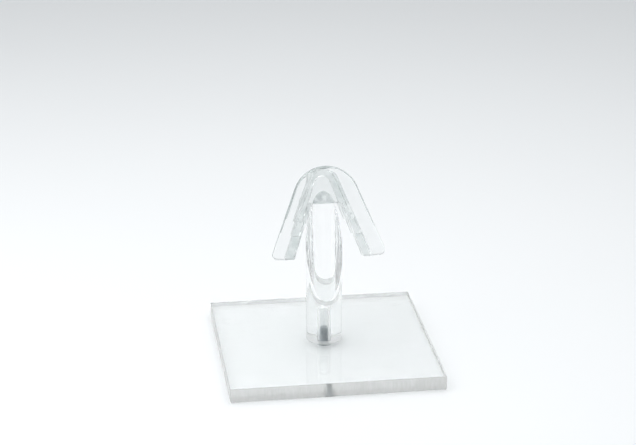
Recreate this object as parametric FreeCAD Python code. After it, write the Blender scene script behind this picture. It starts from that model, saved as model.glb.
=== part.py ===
"""Eyewear display stand: a square plate, an upright rod cut on a slant, and a moulded nose.

The nose is cemented to the rod's slanted face. One countersunk screw comes up through the
plate into the rod's foot, and the rod and nose turn on it as one. Millimetres, +Z up. The
origin is the centre of the plate's underside, and the nose faces -Y.
"""

import FreeCAD, Part
import math
import os
from FreeCAD import Placement, Rotation, Vector

# Base plate
plate_side = 70.0
plate_thickness = 4.8
plate_edge_break = 0.25

# Post: a round rod whose slanted cut starts low at the front and leaves the top as a thin edge
post_diameter = 12.0
post_length = 50.5
cut_start = 16.0
post_foot_chamfer = 0.4

# Countersunk screw, and the holes it sits in
thread_diameter = 2.94
thread_pitch = 0.5
thread_depth = 0.27
screw_length = 9.5
head_diameter = 5.5
head_rim = 0.25
head_recess = 0.15
cross_width = 0.75
cross_reach = 3.0
cross_depth = 1.1
pilot_diameter = 2.8
pilot_depth = 12.0
drill_point_angle = 118.0
plate_hole_diameter = 3.08
head_clearance = 0.07

# Nose, measured along the slanted cut: "up" runs up the cut, "out" stands square to it
nose_leg_end = -3.5
leg_flare = 21.7
lip_top = 26.3
lip_half_width = 19.3
lip_thickness = 2.0
lip_edge_radius = 0.9
lip_corner_radius = 1.9
saddle_top = 25.2
saddle_half_width = 14.4
inner_flare = 19.5
inner_top = 22.9
inner_half_width = 11.3
web_bottom = 14.1
nose_reach = 12.0
saddle_back = 3.0
back_steps = ((8.3, 5.0), (3.8, 9.0))

# Worked out from the above
post_radius = post_diameter / 2
post_top = plate_thickness + post_length
cut_middle = plate_thickness + (cut_start + post_length) / 2
cut_lean = math.degrees(math.atan(post_diameter / (post_length - cut_start)))
head_cone = (head_diameter - thread_diameter) / 2


def on_the_cut():
    """Places a shape drawn in X (across), Y (up the cut) and Z (out from it)."""
    return Placement(Vector(0, 0, cut_middle), Rotation(Vector(1, 0, 0), 90 - cut_lean))


def cylinder(diameter, height, base):
    return Part.makeCylinder(diameter / 2, height, Vector(0, 0, base))


def cone(lower_diameter, upper_diameter, height, base):
    return Part.makeCone(lower_diameter / 2, upper_diameter / 2, height, Vector(0, 0, base))


def base_plate():
    half = plate_side / 2
    plate = Part.makeBox(plate_side, plate_side, plate_thickness, Vector(-half, -half, 0))
    plate = plate.makeChamfer(plate_edge_break, plate.Edges)
    hole = cylinder(plate_hole_diameter, plate_thickness, 0)
    seat_rim = head_recess + head_rim
    seat_diameter = head_diameter + 2 * head_clearance
    seat_cone = (seat_diameter - plate_hole_diameter) / 2
    seat = cylinder(seat_diameter, seat_rim, 0)
    countersink = cone(seat_diameter, plate_hole_diameter, seat_cone, seat_rim)
    return plate.cut(hole).cut(seat).cut(countersink)


def post():
    rod = cylinder(post_diameter, post_length + post_radius, plate_thickness)
    foot = [edge for edge in rod.Edges if edge.BoundBox.ZMax < plate_thickness + 0.01]
    rod = rod.makeChamfer(post_foot_chamfer, foot)
    size = 4 * post_length
    removed = Part.makeBox(size, size, size, Vector(-size / 2, -size / 2, 0))
    removed.Placement = on_the_cut()
    rod = rod.cut(removed)
    point = pilot_diameter / 2 / math.tan(math.radians(drill_point_angle / 2))
    rod = rod.cut(cylinder(pilot_diameter, pilot_depth, plate_thickness))
    return rod.cut(cone(pilot_diameter, 0, point, plate_thickness + pilot_depth))


def screw():
    """A machine screw whose thread is turned as rings, one per pitch."""
    outer = thread_diameter / 2
    root = outer - thread_depth
    shoulder = head_recess + head_rim + head_cone
    tip = head_recess + screw_length
    turns = int((tip - shoulder) / thread_pitch)
    outline = [
        (0, head_recess),
        (head_diameter / 2, head_recess),
        (head_diameter / 2, head_recess + head_rim),
        (outer, shoulder),
    ]
    for turn in range(turns):
        crest = shoulder + (turn + 1) * thread_pitch
        outline.append((root, crest - thread_pitch / 2))
        outline.append((outer, crest - thread_pitch / 8))
        outline.append((outer, crest))
    outline.append((root, tip))
    outline.append((0, tip))
    points = [Vector(radius, 0, height) for radius, height in outline]
    profile = Part.Face(Part.makePolygon(points + points[:1]))
    body = profile.revolve(Vector(0, 0, 0), Vector(0, 0, 1), 360)
    for angle in (0, 90):
        slot = Part.makeBox(
            cross_reach, cross_width, cross_depth, Vector(-cross_reach / 2, -cross_width / 2, 0)
        )
        slot.rotate(Vector(0, 0, 0), Vector(0, 0, 1), angle + 20)
        slot.translate(Vector(0, 0, head_recess))
        body = body.cut(slot)
    return body


def arch(half_width, top, flare, out, depth, bottom=nose_leg_end):
    """An arch with flared straight legs and a round top, from height `out`, `depth` thick."""
    sine = math.sin(math.radians(flare))
    cosine = math.cos(math.radians(flare))
    reach = half_width * cosine + nose_leg_end * sine
    radius = (reach - top * sine) / (1 - sine)
    centre = top - radius
    foot = half_width - (bottom - nose_leg_end) * sine / cosine
    left_foot = Vector(-foot, bottom, out)
    right_foot = Vector(foot, bottom, out)
    left_bend = Vector(-radius * cosine, centre + radius * sine, out)
    right_bend = Vector(radius * cosine, centre + radius * sine, out)
    edges = [
        Part.LineSegment(left_foot, left_bend).toShape(),
        Part.Arc(left_bend, Vector(0, top, out), right_bend).toShape(),
        Part.LineSegment(right_bend, right_foot).toShape(),
        Part.LineSegment(right_foot, left_foot).toShape(),
    ]
    return Part.Face(Part.Wire(edges)).extrude(Vector(0, 0, depth))


def inner_arch(out, depth):
    """The space inside the saddle, open past the leg ends."""
    margin = 2.0
    return arch(inner_half_width, inner_top, inner_flare, out, depth, nose_leg_end - margin)


def lip():
    """The rounded front plate that keeps the glasses from sliding off."""
    plate = arch(lip_half_width, lip_top, leg_flare, nose_reach - lip_thickness, lip_thickness)
    corners = []
    for edge in plate.Edges:
        upright = edge.BoundBox.ZLength > lip_thickness / 2
        if upright and edge.BoundBox.YMax < nose_leg_end + 0.01:
            corners.append(edge)
    plate = plate.makeFillet(lip_corner_radius, corners)
    rims = [edge for edge in plate.Edges if edge.BoundBox.ZLength < 0.01]
    return plate.makeFillet(lip_edge_radius, rims)


def saddle():
    """The walls that the bridge of the glasses rests on, with a back edge that steps forward."""
    depth = nose_reach - lip_thickness + saddle_back
    walls = arch(saddle_half_width, saddle_top, leg_flare, -saddle_back, depth)
    side = 4 * lip_half_width
    for below, forward in back_steps:
        step = Part.makeBox(side, side, forward, Vector(-side / 2, below - side, -saddle_back))
        walls = walls.cut(step)
    return walls


def nose_rest():
    body = lip().fuse(saddle())
    body = body.cut(inner_arch(-saddle_back, saddle_back))
    opening = inner_arch(0, nose_reach)
    web = Part.makeBox(
        2 * inner_half_width,
        inner_top,
        nose_reach,
        Vector(-inner_half_width, web_bottom, 0),
    )
    body = body.cut(opening.cut(web)).removeSplitter()
    body.Placement = on_the_cut()
    return body


def write(name, shape):
    solid = shape.Solids[0]
    solid.exportStep(os.path.join("parts", name + ".step"))
    box = solid.BoundBox
    print(name, "valid", solid.isValid(), "solids", len(shape.Solids), "volume", round(solid.Volume, 1))
    print("  from", [round(value, 2) for value in (box.XMin, box.YMin, box.ZMin)])
    print("  to", [round(value, 2) for value in (box.XMax, box.YMax, box.ZMax)])


os.makedirs("parts", exist_ok=True)
write("base_plate", base_plate())
write("post", post())
write("nose_rest", nose_rest())
write("screw", screw())
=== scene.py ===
"""Looks of the eyewear display stand: clear acrylic plate, post and nose, and a steel screw.

Each piece is drawn in millimetres with the CAD model's sizes and then scaled to metres. The
nose is drawn on the post's slanted cut: X across, Y up the cut, Z out from it.
"""

import bmesh
import bpy
import math
from mathutils import Matrix, Vector


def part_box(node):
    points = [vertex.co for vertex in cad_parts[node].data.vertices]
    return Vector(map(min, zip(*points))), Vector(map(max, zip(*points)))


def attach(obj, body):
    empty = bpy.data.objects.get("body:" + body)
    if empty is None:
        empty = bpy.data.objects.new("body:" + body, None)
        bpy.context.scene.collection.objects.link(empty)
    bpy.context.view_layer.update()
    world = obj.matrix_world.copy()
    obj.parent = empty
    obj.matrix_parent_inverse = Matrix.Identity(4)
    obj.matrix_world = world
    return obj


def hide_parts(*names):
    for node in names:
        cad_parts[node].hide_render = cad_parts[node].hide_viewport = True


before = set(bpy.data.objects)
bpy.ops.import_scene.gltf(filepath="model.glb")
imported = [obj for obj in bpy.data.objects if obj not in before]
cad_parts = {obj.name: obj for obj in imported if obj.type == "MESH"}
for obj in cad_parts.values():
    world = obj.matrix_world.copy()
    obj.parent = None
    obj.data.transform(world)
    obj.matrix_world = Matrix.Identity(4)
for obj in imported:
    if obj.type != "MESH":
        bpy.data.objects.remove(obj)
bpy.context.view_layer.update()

millimetre = 0.001

# Camera
camera_azimuth = math.radians(-8.0)
camera_elevation = math.radians(21.2)
camera_distance = 0.6474
camera_target = Vector((-0.00195, 0.00027, 0.0462))
camera_lens = 112.0
sensor_width = 36.0

# Stage, in metres
floor_size = 6.0
floor_gap = 0.00005

# Base plate
plate_corner_radius = 0.5
plate_rim_radius = 0.25
hole_diameter = 3.08
seat_diameter = 5.64
seat_rim = 0.4

# Post
post_gap = 0.03
post_foot_chamfer = 0.4
cut_start = 16.0
cut_rim = 0.1
pilot_diameter = 2.8
pilot_depth = 12.0
pilot_point = 0.84

# Screw
thread_diameter = 2.94
thread_pitch = 0.5
thread_depth = 0.27
head_rim = 0.25
cross_reach = 3.0
cross_width = 0.75
cross_depth = 1.1
cross_turn = math.radians(20)

# Nose
leg_end = -3.5
leg_flare = math.radians(21.7)
lip_top = 26.3
lip_half_width = 19.3
lip_thickness = 2.0
lip_rim_radius = 0.9
lip_corner_radius = 1.9
saddle_top = 25.2
saddle_half_width = 14.4
inner_flare = math.radians(19.5)
inner_top = 22.9
inner_half_width = 11.3
web_bottom = 14.1
nose_reach = 12.0
saddle_back = 3.0
back_steps = ((8.3, 5.0), (3.8, 9.0))
cement_film = 0.02
nose_edge_radius = 0.25

# Meshes, in millimetres
too_close = 0.003
nearly_level = 0.01
smooth_bend = math.radians(35)
sharp_bend = math.radians(38)
tool_overrun = 1.0

# The nose's cells, in the order that they reach back from its front
lip_cell, foot_cell, step_cell, web_cell, wall_cell = range(1, 6)

# Materials
acrylic_ior = 1.49

# Lights, in metres and watts
overhead_place = (-0.15, 0.0, 0.42)
overhead_target = (-0.15, 0.001, 0)
overhead_size = (0.8, 0.5)
overhead_power = 2.1
fill_place = (-0.6, -0.3, 0.5)
fill_target = (0, 0, 0.03)
fill_size = (0.4, 0.4)
fill_power = 0.3

# Room
low_colour = (0.60, 0.615, 0.625, 1)
high_colour = (0.62, 0.64, 0.65, 1)
high_from = 0.8
front_light = 0.75
back_light = 1.15


def node_box(name):
    """A CAD node's lowest and highest corners, in millimetres."""
    low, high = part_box(name)
    return low / millimetre, high / millimetre


plate_low, plate_high = node_box("base_plate")
post_low, post_high = node_box("post")
screw_low, screw_high = node_box("screw")
plate_top = plate_high.z
post_radius = post_high.x
post_length = post_high.z - post_low.z
cut_slope = (post_length - cut_start) / (2 * post_radius)
cut_middle = plate_top + (cut_start + post_length) / 2
cut_lean = math.atan(1 / cut_slope)
out_of_the_cut = Vector((0, -math.cos(cut_lean), math.sin(cut_lean)))
on_the_cut = Matrix.Translation((0, 0, cut_middle)) @ Matrix.Rotation(math.pi / 2 - cut_lean, 4, "X")


# ---------------------------------------------------------------- meshes


class Shell:
    """Points in millimetres and the faces between them."""

    def __init__(self):
        self.points = []
        self.faces = []

    def ring(self, points):
        first = len(self.points)
        self.points.extend(points)
        return list(range(first, len(self.points)))

    def band(self, low, high):
        for here in range(len(low)):
            after = (here + 1) % len(low)
            self.faces.append((low[here], low[after], high[after], high[here]))

    def tube(self, rings):
        """Closed rings, one after another, with a flat face over the first and the last."""
        numbered = [self.ring(points) for points in rings]
        for low, high in zip(numbered, numbered[1:]):
            self.band(low, high)
        self.faces.append(numbered[0][::-1])
        self.faces.append(numbered[-1])

    def piece(self, name):
        data = bpy.data.meshes.new(name)
        data.from_pydata(self.points, [], self.faces)
        mesh = bmesh.new()
        mesh.from_mesh(data)
        bmesh.ops.recalc_face_normals(mesh, faces=mesh.faces)
        mesh.to_mesh(data)
        mesh.free()
        piece = bpy.data.objects.new(name, data)
        bpy.context.scene.collection.objects.link(piece)
        return piece


def settle(piece):
    """Turns the piece's modifiers into its mesh."""
    graph = bpy.context.evaluated_depsgraph_get()
    mesh = bpy.data.meshes.new_from_object(piece.evaluated_get(graph))
    piece.modifiers.clear()
    piece.data = mesh


def cut_away(piece, tool):
    """Takes the tool's shape out of the piece, and joins the points that end up too close."""
    modifier = piece.modifiers.new("cut", "BOOLEAN")
    modifier.object = tool
    modifier.operation = "DIFFERENCE"
    modifier.solver = "EXACT"
    settle(piece)
    bpy.data.objects.remove(tool)
    mesh = bmesh.new()
    mesh.from_mesh(piece.data)
    bmesh.ops.remove_doubles(mesh, verts=mesh.verts, dist=too_close)
    mesh.to_mesh(piece.data)
    mesh.free()


def circle(radius, height, count=128):
    turns = [2 * math.pi * step / count for step in range(count)]
    return [Vector((radius * math.cos(turn), radius * math.sin(turn), height)) for turn in turns]


def lathe(name, profile, count=128):
    """A solid turned about Z from the (radius, height) points of its outline, from low to high."""
    shell = Shell()
    shell.tube([circle(radius, height, count) for radius, height in profile])
    return shell.piece(name)


def rounded(corners, steps):
    """A closed outline, counterclockwise, of (x, y, radius) corners."""
    outline = []
    for number, (x, y, radius) in enumerate(corners):
        here = Vector((x, y))
        if radius == 0:
            outline.append(here)
            continue
        before = (Vector(corners[number - 1][:2]) - here).normalized()
        after = (Vector(corners[(number + 1) % len(corners)][:2]) - here).normalized()
        half = before.angle(after) / 2
        centre = here + (before + after).normalized() * radius / math.sin(half)
        start = here + before * radius / math.tan(half) - centre
        for step in range(steps + 1):
            turn = Matrix.Rotation((math.pi - 2 * half) * step / steps, 2)
            outline.append(centre + turn @ start)
    return outline


def inset(outline, distance):
    """The outline moved inwards by the distance."""
    moved = []
    for number, here in enumerate(outline):
        along = outline[(number + 1) % len(outline)] - outline[number - 1]
        moved.append(here + Vector((-along.y, along.x)).normalized() * distance)
    return moved


def prism(name, outline, low, high, rim):
    """The outline raised from low to high, with its two rims rounded."""
    steps = 5
    turns = [math.pi / 2 * step / steps for step in range(steps + 1)]
    levels = []
    for turn in turns:
        levels.append((low + rim * (1 - math.cos(turn)), rim * (1 - math.sin(turn))))
    for turn in reversed(turns):
        levels.append((high - rim * (1 - math.cos(turn)), rim * (1 - math.sin(turn))))
    shell = Shell()
    rings = []
    for height, distance in levels:
        flat = inset(outline, distance) if distance else outline
        rings.append([Vector((point.x, point.y, height)) for point in flat])
    shell.tube(rings)
    return shell.piece(name)


def base_plate():
    radius = plate_corner_radius
    corners = [(plate_low.x, plate_low.y), (plate_high.x, plate_low.y)]
    corners += [(plate_high.x, plate_high.y), (plate_low.x, plate_high.y)]
    outline = rounded([(x, y, radius) for x, y in corners], 6)
    plate = prism("clear_base_plate", outline, plate_low.z, plate_top, plate_rim_radius)
    seat_top = seat_rim + (seat_diameter - hole_diameter) / 2
    hole = [
        (seat_diameter / 2, plate_low.z - tool_overrun),
        (seat_diameter / 2, plate_low.z + seat_rim),
        (hole_diameter / 2, plate_low.z + seat_top),
        (hole_diameter / 2, plate_top + tool_overrun),
    ]
    cut_away(plate, lathe("hole", hole))
    return plate


def cut_rim_ring(share, foot_ring):
    """A ring of the broken edge of the slanted cut, from the rod's side (0) to the cut (1)."""
    ring = []
    for point in foot_ring:
        toward = Vector((point.x, point.y, 0)) / post_radius
        corner = Vector((point.x, point.y, cut_middle + point.y * cut_slope))
        into = Vector((-toward.x, -toward.y, -toward.y * cut_slope)) * cut_rim
        low = corner - Vector((0, 0, into.length))
        high = corner + into
        ring.append(low.lerp(corner, share).lerp(corner.lerp(high, share), share))
    return ring


def post():
    count = 256
    foot = plate_top + post_gap
    around = circle(post_radius, 0, count)
    rings = [
        circle(post_radius - post_foot_chamfer, foot, count),
        circle(post_radius, foot + post_foot_chamfer, count),
    ]
    rings += [cut_rim_ring(step / 4, around) for step in range(5)]
    shell = Shell()
    shell.tube(rings)
    rod = shell.piece("clear_post")
    drill = [
        (pilot_diameter / 2, foot - tool_overrun),
        (pilot_diameter / 2, foot + pilot_depth),
        (pilot_diameter / 40, foot + pilot_depth + pilot_point),
    ]
    cut_away(rod, lathe("drill", drill, 96))
    return rod


def thread_radius(turn, height, first, last):
    """The screw's radius at an angle and a height: one thread that runs out at both ends."""
    phase = (height / thread_pitch - turn / (2 * math.pi)) % 1
    tooth = min(max(2.6 * (0.5 - abs(phase - 0.5)) - 0.15, 0), 1)
    fade = min(max((height - first) / thread_pitch, 0), max((last - height) / thread_pitch, 0), 1)
    return thread_diameter / 2 - thread_depth * (1 - tooth * fade)


def cross(name, base):
    """A tapered cross, to cut the head's recess."""
    shell = Shell()
    rings = []
    for depth, share in ((-0.2, 1.0), (cross_depth, 0.55)):
        reach = cross_reach / 2 * share
        half = cross_width / 2 * (0.5 + 0.5 * share)
        ring = []
        for quarter in range(4):
            turned = Matrix.Rotation(cross_turn + quarter * math.pi / 2, 3, "Z")
            for x, y in ((reach, -half), (reach, half), (half, half)):
                ring.append(turned @ Vector((x, y, base + depth)))
        rings.append(ring)
    shell.tube(rings)
    return shell.piece(name)


def screw():
    base = screw_low.z
    tip = screw_high.z
    head = screw_high.x
    neck = thread_diameter / 2 - thread_depth
    shoulder = base + head_rim + head - neck
    around = [2 * math.pi * step / 64 for step in range(64)]
    bevel = 0.06
    rings = [
        circle(head - bevel, base, 64),
        circle(head, base + bevel, 64),
        circle(head, base + head_rim - bevel, 64),
        circle(head - bevel, base + head_rim, 64),
    ]
    rows = round((tip - shoulder) / (thread_pitch / 12))
    for row in range(rows):
        height = shoulder + (tip - shoulder) * row / rows
        ring = []
        for turn in around:
            radius = thread_radius(turn, height, shoulder, tip)
            ring.append(Vector((radius * math.cos(turn), radius * math.sin(turn), height)))
        rings.append(ring)
    rings.append(circle(neck - 0.15, tip, 64))
    shell = Shell()
    shell.tube(rings)
    piece = shell.piece("countersunk_screw")
    cut_away(piece, cross("recess", base))
    return piece


def arch_top(half_width, top, flare):
    """Where an arch's straight legs would meet, and the radius of its round top."""
    apex = leg_end + half_width / math.tan(flare)
    return apex, (apex - top) * math.sin(flare) / (1 - math.sin(flare))


def arch(half_width, top, flare, heights):
    """An arch from the left foot to the right: a point at each height on its legs, and its top."""
    apex, radius = arch_top(half_width, top, flare)
    left = [Vector((-(apex - height) * math.tan(flare), height)) for height in heights]
    right = [Vector((-point.x, point.y)) for point in reversed(left)]
    steps = 32
    over = []
    for step in range(steps + 1):
        turn = math.pi - flare - (math.pi - 2 * flare) * step / steps
        over.append(Vector((radius * math.cos(turn), top - radius + radius * math.sin(turn))))
    return left + over + right


def lip_corner():
    """The rounded left corner of the lip, from under the foot up to the leg."""
    apex, radius = arch_top(lip_half_width, lip_top, leg_flare)
    under = (lip_half_width, leg_end, 0)
    corner = (-lip_half_width, leg_end, lip_corner_radius)
    outline = rounded([under, (0, apex, 0), corner], 8)
    return outline[:1:-1]


def nose_cells(mesh):
    """The nose's front, cut into cells that each reach back to one floor."""
    heights = [leg_end] + sorted(height for height, forward in back_steps) + [web_bottom]
    outlines = [
        arch(lip_half_width, lip_top, leg_flare, heights),
        arch(saddle_half_width, saddle_top, leg_flare, heights),
        arch(inner_half_width, inner_top, inner_flare, heights),
    ]
    rim, wall, inner = [
        [mesh.verts.new((point.x, point.y, nose_reach)) for point in outline]
        for outline in outlines
    ]
    last = len(rim) - 1
    for foot, side in ((0, 1), (last, -1)):
        mesh.verts.remove(rim[foot])
        corner = [mesh.verts.new((side * p.x, p.y, nose_reach)) for p in lip_corner()]
        leg = [rim[foot + side], wall[foot + side], wall[foot]]
        mesh.faces.new(corner + leg).material_index = lip_cell
    for here in range(1, last - 1):
        cell = (rim[here], rim[here + 1], wall[here + 1], wall[here])
        mesh.faces.new(cell).material_index = lip_cell
    for here in range(last):
        up = min(here, last - 1 - here)
        cell = (wall[here], wall[here + 1], inner[here + 1], inner[here])
        mesh.faces.new(cell).material_index = {0: foot_cell, 1: step_cell}.get(up, wall_cell)
    top = len(heights) - 1
    mesh.faces.new(inner[top : last - top + 1]).material_index = web_cell


def pull_back(mesh, faces, distance):
    """Copies the faces further back, with walls around them, and returns the copies."""
    made = bmesh.ops.extrude_face_region(mesh, geom=faces)["geom"]
    points = [item for item in made if isinstance(item, bmesh.types.BMVert)]
    bmesh.ops.translate(mesh, verts=points, vec=(0, 0, -distance))
    return [item for item in made if isinstance(item, bmesh.types.BMFace)]


def beyond_saddle(point):
    """Whether a point of the nose lies on the lip, clear of the saddle's outline."""
    apex, radius = arch_top(saddle_half_width, saddle_top, leg_flare)
    margin = 0.1
    beside = abs(point.x) > (apex - point.y) * math.tan(leg_flare) + margin
    above = math.hypot(point.x, point.y - saddle_top + radius) > radius + margin
    bend = saddle_top - radius + radius * math.sin(leg_flare)
    return beside if point.y < bend else above


def rounding(edge):
    """The radius that an edge of the nose is rounded to."""
    if edge.calc_face_angle() < smooth_bend:
        return 0.0
    first, second = (vert.co for vert in edge.verts)
    middle = (first + second) / 2
    level = abs(first.z - second.z) < nearly_level
    front = middle.z > nose_reach - nearly_level
    under_front = front and middle.y < leg_end + nearly_level
    if level and (under_front or beyond_saddle(middle)):
        return lip_rim_radius
    return nose_edge_radius if edge.is_convex else 0.0


def nose_body(mesh):
    """Pulls the nose's cells back, floor by floor, from its front to the saddle's back."""
    floors = [nose_reach - lip_thickness]
    floors += [forward - saddle_back for height, forward in reversed(back_steps)]
    floors += [cement_film, -saddle_back]
    faces = list(mesh.faces)
    height = nose_reach
    for cell, floor in enumerate(floors, lip_cell):
        front = [face for face in faces if face.material_index >= cell]
        faces = pull_back(mesh, front, height - floor)
        height = floor
        if cell > lip_cell:
            bmesh.ops.delete(mesh, geom=front, context="FACES")
    bmesh.ops.recalc_face_normals(mesh, faces=mesh.faces)


def round_edges(nose):
    """Rounds each edge of the nose by its own weight."""
    bevel = nose.modifiers.new("edges", "BEVEL")
    bevel.width = lip_rim_radius
    bevel.segments = 4
    bevel.limit_method = "WEIGHT"
    bevel.use_clamp_overlap = False
    bevel.loop_slide = False
    settle(nose)


def nose_rest():
    mesh = bmesh.new()
    nose_cells(mesh)
    nose_body(mesh)
    weights = mesh.edges.layers.float.new("bevel_weight_edge")
    for edge in mesh.edges:
        edge[weights] = rounding(edge) / lip_rim_radius
    data = bpy.data.meshes.new("clear_nose_rest")
    mesh.to_mesh(data)
    mesh.free()
    nose = bpy.data.objects.new("clear_nose_rest", data)
    bpy.context.scene.collection.objects.link(nose)
    round_edges(nose)
    nose.data.transform(on_the_cut)
    return nose


# ---------------------------------------------------------------- materials


class Nodes:
    """One material and a short way to write its shader tree."""

    def __init__(self, name):
        self.material = bpy.data.materials.new(name)
        self.material.use_nodes = True
        self.tree = self.material.node_tree
        self.tree.nodes.clear()

    def add(self, kind, **inputs):
        node = self.tree.nodes.new("ShaderNode" + kind)
        for name, value in inputs.items():
            self.set(node, name.replace("_", " "), value)
        return node

    def set(self, node, socket, value):
        target = node.inputs[socket]
        if isinstance(value, bpy.types.NodeSocket):
            self.tree.links.new(value, target)
        else:
            target.default_value = value

    def place(self, stretch=(1, 1, 1)):
        """Object coordinates, squeezed along each axis by the given factors."""
        where = self.add("TexCoord").outputs["Object"]
        return self.add("Mapping", Vector=where, Scale=stretch).outputs[0]

    def noise(self, where, scale, detail=3.0, roughness=0.5):
        node = self.add("TexNoise", Vector=where, Scale=scale, Detail=detail, Roughness=roughness)
        return node.outputs["Fac"]

    def ramp(self, value, stops):
        node = self.tree.nodes.new("ShaderNodeValToRGB")
        self.tree.links.new(value, node.inputs["Fac"])
        elements = node.color_ramp.elements
        elements[0].position, elements[0].color = stops[0]
        elements[1].position, elements[1].color = stops[-1]
        for position, colour in stops[1:-1]:
            element = elements.new(position)
            element.color = colour
        return node.outputs["Color"]

    def math(self, operation, first, second=0.0):
        node = self.tree.nodes.new("ShaderNodeMath")
        node.operation = operation
        self.set(node, 0, first)
        self.set(node, 1, second)
        return node.outputs[0]

    def mix(self, share, first, second):
        node = self.tree.nodes.new("ShaderNodeMixShader")
        self.set(node, 0, share)
        self.tree.links.new(first, node.inputs[1])
        self.tree.links.new(second, node.inputs[2])
        return node.outputs[0]

    def bump(self, height, distance):
        return self.add("Bump", Height=height, Distance=distance).outputs[0]

    def finish(self, shader):
        out = self.tree.nodes.new("ShaderNodeOutputMaterial")
        self.tree.links.new(shader, out.inputs["Surface"])
        return self.material


def grey(level):
    return (level, level, level, 1.0)


def clear(n, tint, rough, normal=None):
    """A see-through plastic shader that lets lamps through."""
    body = n.add("BsdfPrincipled", Base_Color=tint, Roughness=rough, IOR=acrylic_ior)
    n.set(body, "Transmission Weight", 1.0)
    if normal:
        n.set(body, "Normal", normal)
    passing = n.add("BsdfTransparent", Color=(0.90, 0.91, 0.91, 1))
    lamp = n.add("LightPath").outputs["Is Shadow Ray"]
    return n.mix(lamp, body.outputs[0], passing.outputs[0])


def scratches(n, scale, turn):
    """Sparse thin scratches, all about one way: white lines on black."""
    where = n.add("TexCoord").outputs["Object"]
    turned = n.add("Mapping", Vector=where, Rotation=(0, 0, turn), Scale=(1, 14, 1)).outputs[0]
    lines = n.noise(turned, scale, 1.0)
    fine = n.ramp(lines, [(0.495, grey(0)), (0.5, grey(1)), (0.505, grey(0))])
    patches = n.noise(where, scale * 0.7, 1.0)
    chosen = n.ramp(patches, [(0.58, grey(0)), (0.66, grey(1))])
    return n.math("MULTIPLY", fine, chosen)


def polished(name, dark, light):
    """Cast sheet or rod as it comes: glossy, with faint smears and a few scratches."""
    n = Nodes(name)
    smear = n.noise(n.place(), 90.0, 4.0)
    base = n.ramp(smear, [(0.35, grey(0.004)), (0.75, grey(0.03))])
    lines = n.math("MAXIMUM", scratches(n, 120.0, 0.4), scratches(n, 170.0, 1.9))
    rough = n.math("ADD", base, n.math("MULTIPLY", lines, 0.25))
    colour = n.ramp(smear, [(0.3, dark), (0.7, light)])
    normal = n.bump(lines, 0.000004)
    return n.finish(clear(n, colour, rough, normal))


def sawn(name):
    """The plate's edges: cut by a saw and lightly polished."""
    n = Nodes(name)
    lines = n.noise(n.place((1, 1, 0.25)), 1500.0, 3.0)
    cloud = n.noise(n.place(), 250.0, 4.0)
    rough = n.ramp(cloud, [(0.3, grey(0.03)), (0.75, grey(0.09))])
    colour = n.ramp(cloud, [(0.3, (0.84, 0.84, 0.83, 1)), (0.7, (0.92, 0.925, 0.915, 1))])
    normal = n.bump(lines, 0.000006)
    body = clear(n, colour, rough, normal)
    dull = n.ramp(lines, [(0.3, (0.69, 0.695, 0.68, 1)), (0.7, (0.77, 0.775, 0.76, 1))])
    matt = n.add("BsdfDiffuse", Color=dull)
    return n.finish(n.mix(0.33, body, matt.outputs[0]))


def faced(name):
    """The rod's foot: turned square, with rings left by the tool."""
    n = Nodes(name)
    where = n.place()
    rings = n.add("TexWave", Vector=where, Scale=900.0, Distortion=0.6)
    rings.wave_type = "RINGS"
    rings.rings_direction = "Z"
    cloud = n.noise(where, 600.0, 3.0)
    rough = n.ramp(cloud, [(0.3, grey(0.25)), (0.7, grey(0.4))])
    normal = n.bump(rings.outputs["Fac"], 0.00002)
    body = clear(n, (0.92, 0.93, 0.93, 1), rough, normal)
    dust = n.add("BsdfDiffuse", Color=(0.70, 0.72, 0.72, 1))
    return n.finish(n.mix(0.3, body, dust.outputs[0]))


def drilled(name):
    """A drilled hole's wall: whitish, with rings left by the drill."""
    n = Nodes(name)
    rings = n.noise(n.place((0.2, 0.2, 1)), 4000.0, 2.0)
    rough = n.ramp(rings, [(0.3, grey(0.02)), (0.7, grey(0.06))])
    normal = n.bump(rings, 0.000002)
    body = clear(n, (0.91, 0.93, 0.93, 1), rough, normal)
    chalk = n.add("BsdfDiffuse", Color=(0.95, 0.96, 0.96, 1))
    return n.finish(n.mix(0.22, body, chalk.outputs[0]))


def joint_mask(n):
    """White where the nose's web is cemented to the slanted cut."""
    where = n.add("TexCoord").outputs["Object"]
    split = n.add("SeparateXYZ", Vector=where)
    x = split.outputs["X"]
    y = split.outputs["Y"]
    across = n.math("ADD", n.math("MULTIPLY", x, x), n.math("MULTIPLY", y, y))
    radius = (post_radius - cut_rim) * millimetre
    inside = n.math("LESS_THAN", across, radius * radius)
    web_height = (cut_middle + web_bottom * math.cos(cut_lean)) * millimetre
    above = n.math("GREATER_THAN", split.outputs["Z"], web_height)
    return n.math("MULTIPLY", inside, above)


def cemented(name, tint):
    """Polished acrylic whose cemented part lets light straight through, past a thin grey film."""
    n = Nodes(name)
    smear = n.noise(n.place(), 110.0, 4.0)
    rough = n.ramp(smear, [(0.35, grey(0.006)), (0.75, grey(0.04))])
    # The tint colours the polished surface outside the joint: for the web it is painted shade, and
    # for the cut it is the acrylic's own near-white.
    surface = clear(n, tint, rough)
    film = n.noise(n.place(), 700.0, 4.0)
    bare = n.ramp(film, [(0.4, (0.78, 0.80, 0.80, 1)), (0.65, (0.92, 0.93, 0.93, 1))])
    through = n.add("BsdfTransparent", Color=bare)
    haze = n.add("BsdfTranslucent", Color=(0.9, 0.92, 0.92, 1))
    cement = n.mix(0.12, through.outputs[0], haze.outputs[0])
    return n.finish(n.mix(joint_mask(n), surface, cement))


def moulded(name, dark, light, wave_height):
    """An injection-moulded face: clear, between two tints of grey, and a little wavy. On the walls
    the grey is painted shade for darker surroundings seen through them; on the lip it is the
    plastic's own faint tint.
    """
    n = Nodes(name)
    where = n.place()
    wave = n.noise(where, 260.0, 2.0, 0.4)
    smear = n.noise(where, 700.0, 3.0)
    rough = n.ramp(smear, [(0.3, grey(0.015)), (0.7, grey(0.05))])
    colour = n.ramp(wave, [(0.35, dark), (0.65, light)])
    return n.finish(clear(n, colour, rough, n.bump(wave, wave_height)))


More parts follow.
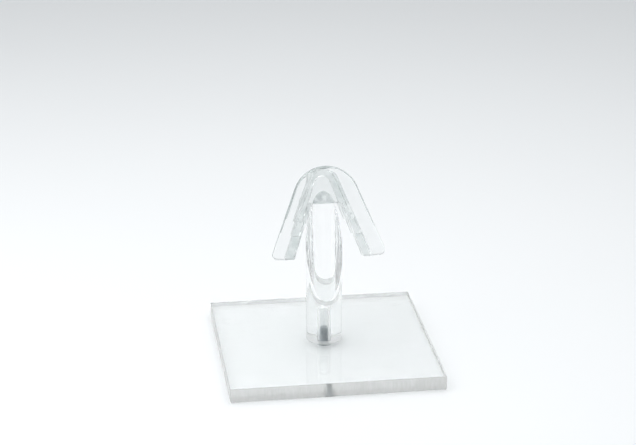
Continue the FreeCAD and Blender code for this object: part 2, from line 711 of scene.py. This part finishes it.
def steel(name):
    """A plain steel screw: grey, and a little uneven in its colour and polish."""
    n = Nodes(name)
    smear = n.noise(n.place((1, 1, 0.4)), 900.0, 3.0)
    colour = n.ramp(smear, [(0.3, (0.20, 0.235, 0.26, 1)), (0.7, (0.34, 0.385, 0.41, 1))])
    rough = n.ramp(smear, [(0.3, grey(0.25)), (0.7, grey(0.45))])
    body = n.add("BsdfPrincipled", Base_Color=colour, Roughness=rough, Metallic=1.0)
    n.set(body, "Normal", n.bump(smear, 0.00001))
    return n.finish(body.outputs[0])


def floor_material():
    n = Nodes("floor")
    smear = n.noise(n.place(), 2.0, 2.0)
    colour = n.ramp(smear, [(0.3, (0.80, 0.81, 0.82, 1)), (0.7, (0.83, 0.84, 0.85, 1))])
    body = n.add("BsdfPrincipled", Base_Color=colour, Roughness=0.55)
    return n.finish(body.outputs[0])


# ---------------------------------------------------------------- finishing


def shade(piece):
    """Smooth faces with sharp edges kept, and flat faces kept flat."""
    mesh = piece.data
    mesh.shade_smooth()
    edges = bmesh.new()
    edges.from_mesh(mesh)
    for edge in edges.edges:
        edge.smooth = len(edge.link_faces) == 2 and edge.calc_face_angle() < sharp_bend
    edges.to_mesh(mesh)
    edges.free()
    even = piece.modifiers.new("normals", "WEIGHTED_NORMAL")
    even.keep_sharp = True
    settle(piece)


def dress(piece, node, body, materials, zone_of):
    """Gives each face the material of its zone, hides the CAD node that the piece stands in for, and
    hangs the piece on its body's empty.
    """
    mesh = piece.data
    mesh.materials.clear()
    for material in materials:
        mesh.materials.append(material)
    for face in mesh.polygons:
        face.material_index = zone_of(face.center, face.normal)
    mesh.transform(Matrix.Scale(millimetre, 4))
    shade(piece)
    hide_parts(node)
    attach(piece, body)


def plate_zone(centre, normal):
    """The plate's faces: 0 polished, 1 sawn, 2 drilled."""
    if math.hypot(centre.x, centre.y) < seat_diameter and abs(normal.z) < 0.9:
        return 2
    return 0 if abs(normal.z) > 0.9 else 1


def post_zone(centre, normal):
    """The post's faces: 0 polished, 1 the slanted cut, 2 the foot, 3 drilled."""
    if math.hypot(centre.x, centre.y) < pilot_diameter and normal.z < 0.3:
        if abs(normal.z) < 0.3 or centre.z > plate_top + 1:
            return 3
    if normal.z < -0.5:
        return 2
    return 1 if normal.dot(out_of_the_cut) > 0.9999 else 0


def nose_zone(centre, normal):
    """The nose's faces: 0 the lip, 1 the cemented back of the web, 2 the walls."""
    place = on_the_cut.inverted() @ centre
    on_web = abs(place.z - cement_film) < nearly_level and place.y > web_bottom
    if on_web and normal.dot(out_of_the_cut) < -0.99:
        return 1
    return 2 if place.z < nose_reach - lip_thickness - nose_edge_radius else 0


def one_zone(centre, normal):
    return 0


def make_pieces():
    sheet = polished("acrylic_sheet", (0.925, 0.935, 0.93, 1), (0.95, 0.955, 0.955, 1))
    rod = polished("acrylic_rod", (0.985, 0.99, 0.99, 1), (0.995, 0.998, 0.998, 1))
    drill = drilled("drilled_acrylic")
    cut = cemented("cemented_cut", (0.995, 0.998, 0.998, 1))
    # The web's grey tint is painted shade for darker surroundings seen through it.
    web = cemented("cemented_web_painted_shade", (0.84, 0.865, 0.86, 1))
    lip = moulded("moulded_lip", (0.96, 0.975, 0.97, 1), (0.99, 0.995, 0.995, 1), 0.00005)
    # The walls' dark grey tints are painted shade: the clear moulding is darkened where darker
    # surroundings show through it.
    walls = moulded("moulded_walls_painted_shade", (0.48, 0.54, 0.53, 1), (0.76, 0.80, 0.79, 1), 0.0005)
    dress(
        base_plate(),
        "base_plate",
        "base",
        [sheet, sawn("sawn_acrylic_edge"), drill],
        plate_zone,
    )
    dress(
        post(),
        "post",
        "head",
        [rod, cut, faced("faced_acrylic"), drill],
        post_zone,
    )
    dress(
        nose_rest(),
        "nose_rest",
        "head",
        [lip, web, walls],
        nose_zone,
    )
    dress(screw(), "screw", "head", [steel("screw_steel")], one_zone)


# ---------------------------------------------------------------- camera, floor and light


def make_camera():
    data = bpy.data.cameras.new("camera")
    data.lens = camera_lens
    data.sensor_width = sensor_width
    data.clip_start = 0.01
    camera = bpy.data.objects.new("camera", data)
    flat = math.cos(camera_elevation)
    back = Vector(
        (
            math.sin(camera_azimuth) * flat,
            -math.cos(camera_azimuth) * flat,
            math.sin(camera_elevation),
        )
    )
    camera.location = camera_target + back * camera_distance
    camera.rotation_euler = (-back).to_track_quat("-Z", "Y").to_euler()
    bpy.context.scene.collection.objects.link(camera)
    bpy.context.scene.camera = camera


def make_floor():
    mesh = bpy.data.meshes.new("floor")
    half = floor_size / 2
    corners = [(-half, -half, 0), (half, -half, 0), (half, half, 0), (-half, half, 0)]
    mesh.from_pydata(corners, [], [(0, 1, 2, 3)])
    floor = bpy.data.objects.new("floor", mesh)
    floor.location = (0, 0, -floor_gap)
    floor.data.materials.append(floor_material())
    bpy.context.scene.collection.objects.link(floor)


def area_light(name, place, target, size, power):
    data = bpy.data.lights.new(name, "AREA")
    data.shape = "RECTANGLE"
    data.size, data.size_y = size
    data.energy = power
    light = bpy.data.objects.new(name, data)
    light.location = place
    aim = Vector(target) - Vector(place)
    light.rotation_euler = aim.to_track_quat("-Z", "Y").to_euler()
    bpy.context.scene.collection.objects.link(light)


def make_world():
    """A soft white room, a little brighter above and darker behind the viewer."""
    world = bpy.data.worlds.new("world")
    bpy.context.scene.world = world
    world.use_nodes = True
    tree = world.node_tree
    background = tree.nodes["Background"]
    place = tree.nodes.new("ShaderNodeTexCoord")
    split = tree.nodes.new("ShaderNodeSeparateXYZ")
    tree.links.new(place.outputs["Generated"], split.inputs[0])
    rise = tree.nodes.new("ShaderNodeValToRGB")
    tree.links.new(split.outputs["Z"], rise.inputs["Fac"])
    rise.color_ramp.elements[0].color = low_colour
    rise.color_ramp.elements[1].color = high_colour
    rise.color_ramp.elements[1].position = high_from
    side = tree.nodes.new("ShaderNodeMapRange")
    tree.links.new(split.outputs["Y"], side.inputs["Value"])
    side.inputs["From Min"].default_value = -1.0
    side.inputs["From Max"].default_value = 1.0
    side.inputs["To Min"].default_value = front_light
    side.inputs["To Max"].default_value = back_light
    tree.links.new(rise.outputs["Color"], background.inputs["Color"])
    tree.links.new(side.outputs[0], background.inputs["Strength"])


def make_lights():
    area_light("overhead", overhead_place, overhead_target, overhead_size, overhead_power)
    area_light("fill", fill_place, fill_target, fill_size, fill_power)


def main():
    scene = bpy.context.scene
    scene.view_settings.view_transform = "Standard"
    scene.cycles.max_bounces = 32
    scene.cycles.glossy_bounces = 32
    scene.cycles.transmission_bounces = 32
    scene.cycles.transparent_max_bounces = 24
    make_camera()
    make_floor()
    make_world()
    make_lights()
    make_pieces()


main()
